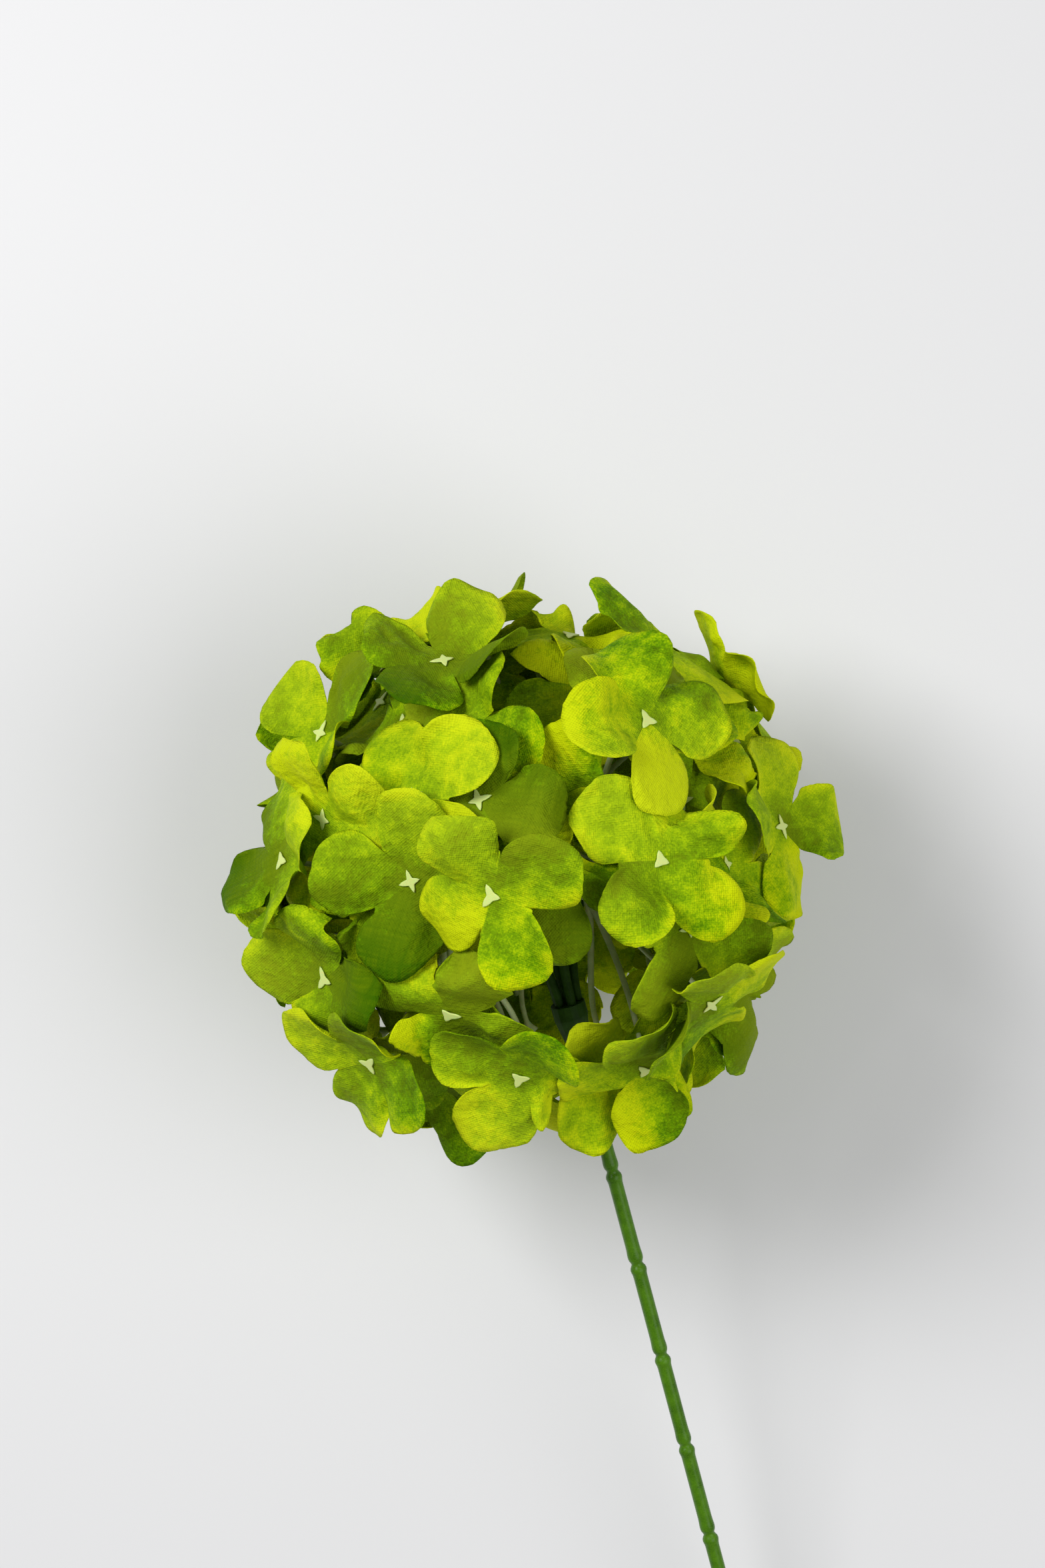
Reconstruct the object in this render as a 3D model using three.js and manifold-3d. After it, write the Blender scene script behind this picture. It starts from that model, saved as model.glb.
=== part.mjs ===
// Artificial hydrangea stem, lying on a table. A knuckled plastic sleeve on a steel wire carries a
// hub, six branches stand in the hub, and each branch holds a moulded spray whose pedicels pass
// through the centres of die-cut cloth florets.
// Millimetres, +Z up. The head lies towards +Y and the stem runs towards -Y.
import * as THREE from 'three';
import { mergeVertices } from 'three/addons/utils/BufferGeometryUtils.js';
import Module from 'manifold-3d';

const wasm = await Module();
wasm.setup();

// Clearance between pieces that touch.
const FIT_GAP = 0.3;
// Length by which a cutter runs out past the face that it opens.
const CUTTER_OVERRUN = 1;
// Distance under which two corners are one.
const WELD = 1e-4;

// Cloth florets.
const FLORET_REACH = 28;
const FLORET_CLOTH = 1;
const SLIT_ROOT = 9;
const LOBE_ROUNDING = 3;
// The slit's place between lobes, and how far the lobes widen towards it, in degrees.
const SLIT_EDGE = 0.95;
const LOBE_SPREAD = 7.5;
const LOBES = 4;
const POINTS_PER_LOBE = 4;
// Turn of each floret about its own pedicel, from the one before, in degrees.
const TURN_STEP = 50;

// Head: distance of the outermost cloth from the head's centre, and the step to the layer below.
const HEAD_RADIUS = 88;
const LAYER_PITCH = 5;
const LEAST_SPREAD = 31;
const SPREADING_ROUNDS = 80;

// Bands of florets round the stem's axis. Tilt is measured from the head's tip and turn from
// straight up, both in degrees.
const BANDS = [
  { tilt: 0, count: 1, turn: 0 },
  { tilt: 31, count: 6, turn: 0 },
  { tilt: 58, count: 10, turn: 0 },
  { tilt: 84, count: 11, turn: -12 },
  { tilt: 111, count: 11, turn: -28 },
  { tilt: 139, count: 5, turn: 36 },
];

// Directions that no floret stands in: round the stem, in the parting above and in the one below.
const PARTINGS = [
  { tilt: 180, turn: 0, clear: 34 },
  { tilt: 103, turn: 4, clear: 24 },
  { tilt: 94, turn: 180, clear: 31 },
];

// Pedicels, with the flared neck under the cloth and the cornered face on top of it.
const PEDICEL_RADIUS = 0.85;
const PEDICEL_SIDES = 5;
const PEDICEL_STEPS = 3;
const NECK_RADIUS = 0.8;
const FLARE_LENGTH = 8;
const FLARE_RADIUS = 2.2;
const FACE_RADIUS = 2.6;
const FACE_THICKNESS = 0.7;
const FACE_CORNERS = 4;

// Branches: one to the head's tip and five round the side.
const SIDE_BRANCHES = 5;
const SIDE_TILT = 96;
const SIDE_TURN = 18;
const BRANCH_RADIUS = 1.3;
const BRANCH_SIDES = 8;
const BRANCH_STEPS = 8;
const BRANCH_BEND = 17;
const FOOT_RING = 3.3;
const PEG_RADIUS = 0.9;
const PEG_LENGTH = 3;

// Knob of a spray, pushed on the end of its branch.
const KNOB_DISTANCE = 31;
const KNOB_LENGTH = 7;
const KNOB_RADIUS = 2.4;
const KNOB_SIDES = 8;

// Hub.
const HUB_DEPTH = 44;
const HUB_LENGTH = 13;
const HUB_RADIUS = 5.3;
const HUB_LIP = 3.6;
const HUB_SOCKET = 7;
const HUB_SIDES = 16;

// Stem.
const STEM_LENGTH = 340;
const STEM_RADIUS = 2.2;
const STEM_SIDES = 12;
const WIRE_RADIUS = 0.8;
const WIRE_SIDES = 8;
const BORE_END_WALL = 4;
const FIRST_KNUCKLE = 18;
const KNUCKLE_PITCH = 31;
const KNUCKLE_SHOULDER = 4;
const KNUCKLE_COLLAR = 1.5;
const COLLAR_RISE = 0.2;
const WAIST_DEPTH = 0.35;

const up = new THREE.Vector3(0, 1, 0);
const degrees = THREE.MathUtils.degToRad;

const cloth = () => new THREE.MeshStandardMaterial({ color: '#7f990d', roughness: 0.75, metalness: 0 });
const palePlastic = () => new THREE.MeshStandardMaterial({ color: '#b8c492', roughness: 0.45, metalness: 0 });
const darkPlastic = () => new THREE.MeshStandardMaterial({ color: '#3c6420', roughness: 0.5, metalness: 0 });
const stemPlastic = () => new THREE.MeshStandardMaterial({ color: '#486f1e', roughness: 0.5, metalness: 0 });
const steel = () => new THREE.MeshStandardMaterial({ color: '#8d8f92', roughness: 0.35, metalness: 1 });

function namedMesh(name, geometry, material) {
  const mesh = new THREE.Mesh(geometry, material);
  mesh.name = name;
  return mesh;
}

// Direction from the head's centre, by its tilt from the tip and its turn round the axis.
function headDirection(tilt, turn) {
  const across = Math.sin(degrees(tilt));
  const along = Math.cos(degrees(tilt));
  return new THREE.Vector3(across * Math.sin(degrees(turn)), along, across * Math.cos(degrees(turn)));
}

// A closed geometry as a solid that can be joined and cut.
function solidOf(geometry) {
  const bare = geometry.index ? geometry.toNonIndexed() : geometry.clone();
  bare.deleteAttribute('normal');
  bare.deleteAttribute('uv');
  const merged = mergeVertices(bare, WELD);
  const corners = merged.index.array;
  const kept = [];
  for (let i = 0; i < corners.length; i += 3) {
    const [a, b, c] = corners.slice(i, i + 3);
    if (a !== b && b !== c && c !== a) {
      kept.push(a, b, c);
    }
  }
  return new wasm.Manifold(new wasm.Mesh({
    numProp: 3,
    vertProperties: new Float32Array(merged.attributes.position.array),
    triVerts: new Uint32Array(kept),
  }));
}

// A joined or cut solid back as a geometry.
function geometryOf(solid) {
  const mesh = solid.getMesh();
  const geometry = new THREE.BufferGeometry();
  geometry.setAttribute('position', new THREE.BufferAttribute(mesh.vertProperties, 3));
  geometry.setIndex(new THREE.BufferAttribute(mesh.triVerts, 1));
  return geometry;
}

function joined(geometries) {
  return geometries.map(solidOf).reduce((whole, piece) => whole.add(piece));
}

// A turned piece about +Y, from [radius, height] pairs that run upwards on its outside.
function turned(profile, sides) {
  return new THREE.LatheGeometry(profile.map(([radius, height]) => new THREE.Vector2(radius, height)), sides);
}

function rod(radius, bottom, top, sides) {
  return turned([[0, bottom], [radius, bottom], [radius, top], [0, top]], sides);
}

function pointedAlong(geometry, direction) {
  return geometry.applyQuaternion(new THREE.Quaternion().setFromUnitVectors(up, direction));
}

// A rod of constant section along a curve.
function bentRod(curve, radius, sides, steps) {
  const section = new THREE.Shape();
  for (let side = 0; side < sides; side += 1) {
    const angle = (side / sides) * 2 * Math.PI;
    const corner = [radius * Math.cos(angle), radius * Math.sin(angle)];
    if (side === 0) {
      section.moveTo(...corner);
    } else {
      section.lineTo(...corner);
    }
  }
  section.closePath();
  return new THREE.ExtrudeGeometry(section, { steps, extrudePath: curve, bevelEnabled: false });
}

// Every floret's direction: the bands, pushed apart until neighbours and partings are clear.
function floretDirections() {
  const directions = BANDS.flatMap(({ tilt, count, turn }) => (
    Array.from({ length: count }, (_, place) => headDirection(tilt, turn + (360 * place) / count))
  ));
  const partings = PARTINGS.map(({ tilt, turn, clear }) => ({ direction: headDirection(tilt, turn), clear }));
  const pushedFrom = (moved, fixed, least, share) => {
    const shortfall = degrees(least) - moved.angleTo(fixed);
    if (shortfall > 0) {
      const away = moved.clone().sub(fixed).normalize();
      moved.addScaledVector(away, shortfall * share).normalize();
    }
  };
  for (let round = 0; round < SPREADING_ROUNDS; round += 1) {
    directions.forEach((direction, i) => {
      directions.slice(i + 1).forEach((other) => {
        const before = direction.clone();
        pushedFrom(direction, other, LEAST_SPREAD, 0.5);
        pushedFrom(other, before, LEAST_SPREAD, 0.5);
      });
      partings.forEach((parting) => pushedFrom(direction, parting.direction, parting.clear, 1));
    });
  }
  return directions;
}

// Outermost layer on which a floret clears those already placed there.
function layerRadius(direction, placed) {
  const clearance = 2 * FLORET_REACH + FIT_GAP;
  let radius = HEAD_RADIUS;
  const crowded = () => placed.some((other) => (
    other.radius === radius && direction.angleTo(other.direction) * radius < clearance
  ));
  while (crowded()) {
    radius -= LAYER_PITCH;
  }
  return radius;
}

// The florets that face up and the ones that rest on the table take the outer layers first.
function placedFlorets() {
  const placed = [];
  const topAndBottomFirst = floretDirections().sort((a, b) => Math.abs(b.z) - Math.abs(a.z));
  topAndBottomFirst.forEach((direction) => {
    placed.push({ direction, radius: layerRadius(direction, placed) });
  });
  return placed;
}

// Distance from the centre to the cloth's edge: round lobes, with a slit between neighbours.
function lobeReach(angle) {
  const offLobe = Math.abs(Math.sin((LOBES / 2) * angle));
  return offLobe > SLIT_EDGE ? SLIT_ROOT : FLORET_REACH - LOBE_ROUNDING * offLobe ** 2;
}

// One floret: a washer, flat where the pedicel grips it, whose rim follows the lobes and bends over
// a ball of the layer's radius.
function floretGeometry(radius) {
  const hole = NECK_RADIUS + FIT_GAP;
  const seat = FACE_RADIUS + FIT_GAP;
  const half = FLORET_CLOTH / 2;
  const underside = [[hole, -half], [seat, -half], [FLORET_REACH, -half]];
  const topside = [[FLORET_REACH, half], [seat, half], [hole, half]];
  const washer = turned([...underside, ...topside, underside[0]], LOBES * POINTS_PER_LOBE);
  const points = washer.attributes.position;
  for (let i = 0; i < points.count; i += 1) {
    const shell = radius + points.getY(i);
    const onRim = Math.hypot(points.getX(i), points.getZ(i)) > SLIT_ROOT;
    if (onRim) {
      const angle = Math.atan2(points.getZ(i), points.getX(i));
      const spread = angle + degrees(LOBE_SPREAD) * Math.sin(LOBES * angle);
      const bend = lobeReach(angle) / radius;
      const across = shell * Math.sin(bend);
      points.setXYZ(i, across * Math.cos(spread), shell * Math.cos(bend), across * Math.sin(spread));
    } else {
      points.setY(i, shell);
    }
  }
  return washer;
}

// Flared end of a pedicel: neck through the cloth's hole, flare below it and face above it.
function flareGeometry(radius) {
  const clothSide = FLORET_CLOTH / 2 + FIT_GAP;
  return turned([
    [0, radius - FLARE_LENGTH],
    [PEDICEL_RADIUS, radius - FLARE_LENGTH],
    [FLARE_RADIUS / 2, radius - FLARE_LENGTH / 3],
    [FLARE_RADIUS, radius - clothSide],
    [NECK_RADIUS, radius - clothSide],
    [NECK_RADIUS, radius + clothSide],
    [FACE_RADIUS, radius + clothSide],
    [0, radius + clothSide + FACE_THICKNESS],
  ], FACE_CORNERS);
}

function pedicelGeometries({ direction, radius }, branchDirection) {
  const root = branchDirection.clone().multiplyScalar(KNOB_DISTANCE + KNOB_LENGTH - KNOB_RADIUS);
  const tip = direction.clone().multiplyScalar(radius - FLARE_LENGTH + FIT_GAP);
  const bend = direction.clone().multiplyScalar((root.length() + tip.length()) / 2);
  const curve = new THREE.QuadraticBezierCurve3(root, bend, tip);
  return [
    bentRod(curve, PEDICEL_RADIUS, PEDICEL_SIDES, PEDICEL_STEPS),
    pointedAlong(flareGeometry(radius), direction),
  ];
}

// One moulding: the knob, with a socket for its branch, and a pedicel to each of its florets.
function sprayGeometry(branchDirection, florets) {
  const knob = turned([
    [0, KNOB_DISTANCE],
    [KNOB_RADIUS, KNOB_DISTANCE],
    [KNOB_RADIUS, KNOB_DISTANCE + KNOB_LENGTH - KNOB_RADIUS],
    [0, KNOB_DISTANCE + KNOB_LENGTH],
  ], KNOB_SIDES);
  const socket = rod(
    PEG_RADIUS + FIT_GAP,
    KNOB_DISTANCE - CUTTER_OVERRUN,
    KNOB_DISTANCE + PEG_LENGTH + FIT_GAP,
    KNOB_SIDES,
  );
  const pedicels = florets.flatMap((floret) => pedicelGeometries(floret, branchDirection));
  const moulding = joined([pointedAlong(knob, branchDirection), ...pedicels]);
  return geometryOf(moulding.subtract(solidOf(pointedAlong(socket, branchDirection))));
}

// A branch: straight out of the hub, bent outwards, with a peg at each end.
function branchGeometry(direction, foot) {
  const start = foot.clone().addScaledVector(up, FIT_GAP);
  const end = direction.clone().multiplyScalar(KNOB_DISTANCE - FIT_GAP);
  const curve = new THREE.CubicBezierCurve3(
    start,
    start.clone().addScaledVector(up, BRANCH_BEND),
    end.clone().addScaledVector(direction, -BRANCH_BEND),
    end,
  );
  const footPeg = rod(PEG_RADIUS, -PEG_LENGTH, FIT_GAP + PEG_RADIUS, BRANCH_SIDES)
    .translate(foot.x, foot.y, foot.z);
  const tipPegStart = KNOB_DISTANCE - FIT_GAP - PEG_RADIUS;
  const tipPeg = rod(PEG_RADIUS, tipPegStart, KNOB_DISTANCE + PEG_LENGTH, BRANCH_SIDES);
  return geometryOf(joined([
    bentRod(curve, BRANCH_RADIUS, BRANCH_SIDES, BRANCH_STEPS),
    footPeg,
    pointedAlong(tipPeg, direction),
  ]));
}

// The hub: a tapered knob with a socket for the stem below and one for each branch on top.
function hubGeometry(feet) {
  const bottom = -HUB_DEPTH - HUB_LENGTH;
  const body = solidOf(turned([
    [0, bottom],
    [HUB_LIP, bottom],
    [HUB_RADIUS, -HUB_DEPTH - HUB_LENGTH / 3],
    [HUB_RADIUS, -HUB_DEPTH],
    [0, -HUB_DEPTH],
  ], HUB_SIDES));
  const stemSocket = rod(STEM_RADIUS + FIT_GAP, bottom - CUTTER_OVERRUN, bottom + HUB_SOCKET, HUB_SIDES);
  const branchSockets = feet.map(({ x, y, z }) => (
    rod(PEG_RADIUS + FIT_GAP, -PEG_LENGTH - FIT_GAP, CUTTER_OVERRUN, BRANCH_SIDES).translate(x, y, z)
  ));
  const sockets = [stemSocket, ...branchSockets].map(solidOf);
  return geometryOf(sockets.reduce((hub, socket) => hub.subtract(socket), body));
}

// The sleeve, from its cut end up to its closed end in the hub, with a knuckle at every pitch.
function sleeveGeometry() {
  const bore = WIRE_RADIUS + FIT_GAP;
  const profile = [
    [0, -BORE_END_WALL],
    [bore, -BORE_END_WALL],
    [bore, -STEM_LENGTH],
    [STEM_RADIUS, -STEM_LENGTH],
  ];
  const knuckles = [];
  for (let at = FIRST_KNUCKLE; at < STEM_LENGTH - KNUCKLE_SHOULDER; at += KNUCKLE_PITCH) {
    knuckles.unshift(-at);
  }
  knuckles.forEach((height) => {
    profile.push([STEM_RADIUS, height - KNUCKLE_SHOULDER]);
    profile.push([STEM_RADIUS + COLLAR_RISE, height - KNUCKLE_COLLAR]);
    profile.push([STEM_RADIUS - WAIST_DEPTH, height]);
    profile.push([STEM_RADIUS + COLLAR_RISE, height + KNUCKLE_COLLAR]);
    profile.push([STEM_RADIUS, height + KNUCKLE_SHOULDER]);
  });
  profile.push([STEM_RADIUS, 0], [0, 0]);
  return turned(profile, STEM_SIDES);
}

function wireGeometry() {
  return rod(WIRE_RADIUS, -STEM_LENGTH, -BORE_END_WALL - FIT_GAP, WIRE_SIDES);
}

function buildStem() {
  const stem = new THREE.Group();
  const sleeveTop = -HUB_DEPTH - HUB_LENGTH + HUB_SOCKET - FIT_GAP;
  const lowerStem = new THREE.Group();
  lowerStem.position.y = sleeveTop;
  lowerStem.add(namedMesh('stem_sleeve', sleeveGeometry(), stemPlastic()));
  lowerStem.add(namedMesh('stem_wire', wireGeometry(), steel()));
  stem.add(lowerStem);

  const branches = [{ direction: up, foot: new THREE.Vector3(0, -HUB_DEPTH, 0) }];
  for (let side = 0; side < SIDE_BRANCHES; side += 1) {
    const turn = SIDE_TURN + (360 * side) / SIDE_BRANCHES;
    const foot = headDirection(90, turn).multiplyScalar(FOOT_RING).setY(-HUB_DEPTH);
    branches.push({ direction: headDirection(SIDE_TILT, turn), foot });
  }
  stem.add(namedMesh('hub', hubGeometry(branches.map(({ foot }) => foot)), darkPlastic()));

  const florets = placedFlorets();
  const nearest = ({ direction }) => branches.reduce((best, branch) => (
    direction.dot(branch.direction) > direction.dot(best.direction) ? branch : best
  ));
  branches.forEach((branch, i) => {
    const held = florets.filter((floret) => nearest(floret) === branch);
    stem.add(namedMesh(`branch_${i + 1}`, branchGeometry(branch.direction, branch.foot), darkPlastic()));
    stem.add(namedMesh(`spray_${i + 1}`, sprayGeometry(branch.direction, held), palePlastic()));
  });

  florets.forEach(({ direction, radius }, i) => {
    const floret = namedMesh(`floret_${String(i + 1).padStart(2, '0')}`, floretGeometry(radius), cloth());
    floret.quaternion.setFromUnitVectors(up, direction);
    floret.rotateY(i * degrees(TURN_STEP));
    stem.add(floret);
  });
  return stem;
}

// Lowest corner of the group among those that pass the test.
function lowestCorner(group, passes) {
  const lowest = new THREE.Vector3(0, 0, Infinity);
  const corner = new THREE.Vector3();
  group.updateMatrixWorld(true);
  group.traverse((mesh) => {
    if (mesh.isMesh) {
      for (let i = 0; i < mesh.geometry.attributes.position.count; i += 1) {
        corner.fromBufferAttribute(mesh.geometry.attributes.position, i).applyMatrix4(mesh.matrixWorld);
        if (corner.z < lowest.z && passes(corner)) {
          lowest.copy(corner);
        }
      }
    }
  });
  return lowest;
}

// Lays the stem down on a floret's lobe at each side of the head and on the sleeve's cut end. The
// head rolls half of the way towards its higher side in each round, so that it ends in a hollow
// between two lobes.
function laidDown(stem) {
  const restingRounds = 40;
  const rollShare = 0.5;
  for (let round = 0; round < restingRounds; round += 1) {
    const left = lowestCorner(stem, ({ x, y }) => x < 0 && y > -HUB_DEPTH);
    const right = lowestCorner(stem, ({ x, y }) => x > 0 && y > -HUB_DEPTH);
    stem.rotateY(rollShare * Math.atan2(right.z - left.z, right.x - left.x));
    const head = lowestCorner(stem, ({ y }) => y > -HUB_DEPTH);
    const cut = lowestCorner(stem, ({ y }) => y < -STEM_LENGTH);
    stem.rotateOnWorldAxis(new THREE.Vector3(1, 0, 0), Math.atan2(cut.z - head.z, head.y - cut.y));
  }
  stem.updateMatrixWorld(true);
  const bounds = new THREE.Box3().setFromObject(stem, true);
  const middle = bounds.getCenter(new THREE.Vector3());
  stem.position.set(-middle.x, -middle.y, -bounds.min.z);
  return stem;
}

const hydrangea = new THREE.Group();
hydrangea.add(laidDown(buildStem()));

export default hydrangea;
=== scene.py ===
import math

import bmesh
import bpy
import numpy as np
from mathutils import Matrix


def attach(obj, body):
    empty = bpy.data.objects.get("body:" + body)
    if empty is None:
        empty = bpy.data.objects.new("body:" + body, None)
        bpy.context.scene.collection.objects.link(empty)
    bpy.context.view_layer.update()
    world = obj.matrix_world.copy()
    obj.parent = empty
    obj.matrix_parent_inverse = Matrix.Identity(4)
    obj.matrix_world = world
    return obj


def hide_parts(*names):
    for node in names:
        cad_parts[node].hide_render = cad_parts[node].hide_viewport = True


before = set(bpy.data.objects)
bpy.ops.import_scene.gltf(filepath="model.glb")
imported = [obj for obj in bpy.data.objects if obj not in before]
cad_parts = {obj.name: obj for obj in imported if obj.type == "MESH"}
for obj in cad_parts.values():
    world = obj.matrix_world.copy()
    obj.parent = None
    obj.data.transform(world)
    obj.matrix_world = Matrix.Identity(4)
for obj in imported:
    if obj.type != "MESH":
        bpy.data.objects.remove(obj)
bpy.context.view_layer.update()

# ---------------------------------------------------------------------------------------------
# Stem sleeve. A tube of green polythene, moulded with a knuckle at every pitch like a bamboo
# cane and cut off square at its free end, where the wire's bore shows. It grips a steel wire.
# ---------------------------------------------------------------------------------------------
SLEEVE_RADIUS = 0.0022
SLEEVE_BORE = 0.0011
BORE_SHOWN = 0.003
FIRST_KNUCKLE = 0.018
KNUCKLE_PITCH = 0.031
KNUCKLES_END = 0.004
KNUCKLE_WAIST = 0.00052
WAIST_WIDTH = 0.0009
KNUCKLE_COLLAR = 0.00034
LOWER_COLLAR_AT = 0.0021
LOWER_COLLAR_WIDTH = 0.0012
UPPER_COLLAR_SHARE = 0.5
UPPER_COLLAR_AT = 0.0024
UPPER_COLLAR_WIDTH = 0.0018
SLEEVE_SIDES = 32
SLEEVE_STATIONS = 620
DOUBLES_WITHIN = 1e-7


def corners_of(node):
    """The corners of a CAD node's mesh, one row of x, y, z each."""
    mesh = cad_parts[node].data
    flat = np.empty(len(mesh.vertices) * 3)
    mesh.vertices.foreach_get("co", flat)
    return np.unique(np.round(flat.reshape(-1, 3), 6), axis=0)


def unit(vectors):
    """Each row divided by its length."""
    vectors = np.asarray(vectors, float)
    return vectors / np.linalg.norm(vectors, axis=-1, keepdims=True)


def smooth_step(x):
    """0 below 0, 1 above 1, and 3x^2 - 2x^3 between."""
    x = np.clip(x, 0.0, 1.0)
    return x * x * (3.0 - 2.0 * x)


def rings_along(path, radii):
    """Points of a closed skin carried along a path: station i, side j lies at
    path[i] + radii[i, j] (cos a U[i] + sin a V[i]), where U and V are carried from one station
    to the next by taking out what leans along the new tangent, so the skin doesn't twist."""
    tangents = unit(np.gradient(path, axis=0))
    helper = np.eye(3)[np.argmin(np.abs(tangents[0]))]
    across = [unit(helper - tangents[0] * (helper @ tangents[0]))]
    for tangent in tangents[1:]:
        across.append(unit(across[-1] - tangent * (across[-1] @ tangent)))
    across = np.array(across)
    beside = np.cross(tangents, across)
    angles = np.linspace(0.0, 2.0 * np.pi, radii.shape[1], endpoint=False)
    cosines, sines = np.cos(angles)[None, :, None], np.sin(angles)[None, :, None]
    spokes = cosines * across[:, None] + sines * beside[:, None]
    return path[:, None] + radii[:, :, None] * spokes


def quads_between(rows, columns):
    """Faces of a grid whose columns close on themselves, each row joined to the next."""
    row, column = np.meshgrid(np.arange(rows - 1), np.arange(columns), indexing="ij")
    here = row * columns + column
    beside = row * columns + (column + 1) % columns
    return np.stack([here, beside, beside + columns, here + columns], -1).reshape(-1, 4)


def add_piece(name, points, quads, material):
    """A smooth mesh object at the origin from points and four-sided faces, with its material, that
    rides on the whole stem."""
    mesh = bpy.data.meshes.new(name)
    mesh.from_pydata(points.reshape(-1, 3).tolist(), [], quads.tolist())
    mesh.materials.append(material)
    piece = bpy.data.objects.new(name, mesh)
    bpy.context.scene.collection.objects.link(piece)
    mesh.shade_smooth()
    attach(piece, "root")
    return piece


def seal(piece):
    """Merges the doubles at poles and turns the faces outwards."""
    work = bmesh.new()
    work.from_mesh(piece.data)
    bmesh.ops.remove_doubles(work, verts=work.verts, dist=DOUBLES_WITHIN)
    bmesh.ops.recalc_face_normals(work, faces=work.faces)
    work.to_mesh(piece.data)
    work.free()


def new_group(name, inputs, outputs):
    """A shader node group with (kind, name, default) inputs and (kind, name) outputs."""
    group = bpy.data.node_groups.new(name, "ShaderNodeTree")
    for kind, label, default in inputs:
        socket = group.interface.new_socket(name=label, in_out="INPUT", socket_type=kind)
        socket.default_value = default
    for kind, label in outputs:
        group.interface.new_socket(name=label, in_out="OUTPUT", socket_type=kind)
    group_in = group.nodes.new("NodeGroupInput")
    group_out = group.nodes.new("NodeGroupOutput")
    return group, group_in, group_out


def maths(tree, operation, first, second=None, clamp=False):
    """A Math node on two numbers or sockets, and its result."""
    node = tree.nodes.new("ShaderNodeMath")
    node.operation = operation
    node.use_clamp = clamp
    for socket, value in zip(node.inputs, (first, second)):
        if value is None:
            continue
        if isinstance(value, (int, float)):
            socket.default_value = value
        else:
            tree.links.new(value, socket)
    return node.outputs[0]


def mixed(tree, share, low, high):
    """A colour mix from low to high by share."""
    node = tree.nodes.new("ShaderNodeMix")
    node.data_type = "RGBA"
    colour_a, colour_b = node.inputs[6], node.inputs[7]
    for socket, value in ((node.inputs["Factor"], share), (colour_a, low), (colour_b, high)):
        if isinstance(value, (int, float)):
            socket.default_value = value
        elif isinstance(value, tuple):
            socket.default_value = (*value, 1.0)
        else:
            tree.links.new(value, socket)
    return node.outputs[2]


def noise(tree, place, scale, detail=3.0, roughness=0.5):
    """A Noise texture's value, stretched from its usual 0.3 to 0.7 to run from 0 to 1."""
    texture = tree.nodes.new("ShaderNodeTexNoise")
    texture.inputs["Scale"].default_value = scale
    texture.inputs["Detail"].default_value = detail
    texture.inputs["Roughness"].default_value = roughness
    tree.links.new(place, texture.inputs["Vector"])
    spread = tree.nodes.new("ShaderNodeMapRange")
    spread.inputs["From Min"].default_value = 0.3
    spread.inputs["From Max"].default_value = 0.7
    tree.links.new(texture.outputs["Fac"], spread.inputs["Value"])
    return spread.outputs["Result"]


# The mottle that moulded plastic shows: broad clouds and fine grain as a mask, and the
# grain's height.
mottle, mottle_in, mottle_out = new_group(
    "moulded_mottle",
    [("NodeSocketVector", "Place", (0.0, 0.0, 0.0)), ("NodeSocketFloat", "Fine share", 0.5)],
    [("NodeSocketFloat", "Mask"), ("NodeSocketFloat", "Height")],
)
clouds = noise(mottle, mottle_in.outputs["Place"], 260.0)
grain = noise(mottle, mottle_in.outputs["Place"], 2600.0, detail=2.0)
fine = maths(mottle, "MULTIPLY", grain, mottle_in.outputs["Fine share"])
broad_share = maths(mottle, "SUBTRACT", 1.0, mottle_in.outputs["Fine share"])
broad = maths(mottle, "MULTIPLY", clouds, broad_share)
mottle.links.new(maths(mottle, "ADD", fine, broad, clamp=True), mottle_out.inputs["Mask"])
mottle.links.new(grain, mottle_out.inputs["Height"])


def moulded_plastic(name, dark, light, roughness, fine_share, grain_height):
    """A satin plastic whose colour runs from dark to light by the mottle, with a fine grain."""
    material = bpy.data.materials.new(name)
    material.use_nodes = True
    tree = material.node_tree
    shader = tree.nodes["Principled BSDF"]
    place = tree.nodes.new("ShaderNodeTexCoord").outputs["Object"]
    effect = tree.nodes.new("ShaderNodeGroup")
    effect.node_tree = mottle
    effect.inputs["Fine share"].default_value = fine_share
    tree.links.new(place, effect.inputs["Place"])
    tree.links.new(mixed(tree, effect.outputs["Mask"], dark, light), shader.inputs["Base Color"])
    rough = maths(tree, "MULTIPLY_ADD", effect.outputs["Mask"], 0.15)
    rough.node.inputs[2].default_value = roughness
    tree.links.new(rough, shader.inputs["Roughness"])
    shader.inputs["Specular IOR Level"].default_value = 0.24
    bump = tree.nodes.new("ShaderNodeBump")
    bump.inputs["Strength"].default_value = 0.4
    bump.inputs["Distance"].default_value = grain_height
    tree.links.new(effect.outputs["Height"], bump.inputs["Height"])
    tree.links.new(bump.outputs["Normal"], shader.inputs["Normal"])
    return material


sleeve_corners = corners_of("stem_sleeve")
sleeve_middle = sleeve_corners.mean(0)
stem_axis = np.linalg.svd(sleeve_corners - sleeve_middle)[2][0]
stem_axis = stem_axis * np.sign(stem_axis[1])
sleeve_heights = (sleeve_corners - sleeve_middle) @ stem_axis
sleeve_top = sleeve_middle + stem_axis * sleeve_heights.max()
sleeve_length = sleeve_heights.max() - sleeve_heights.min()


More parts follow.
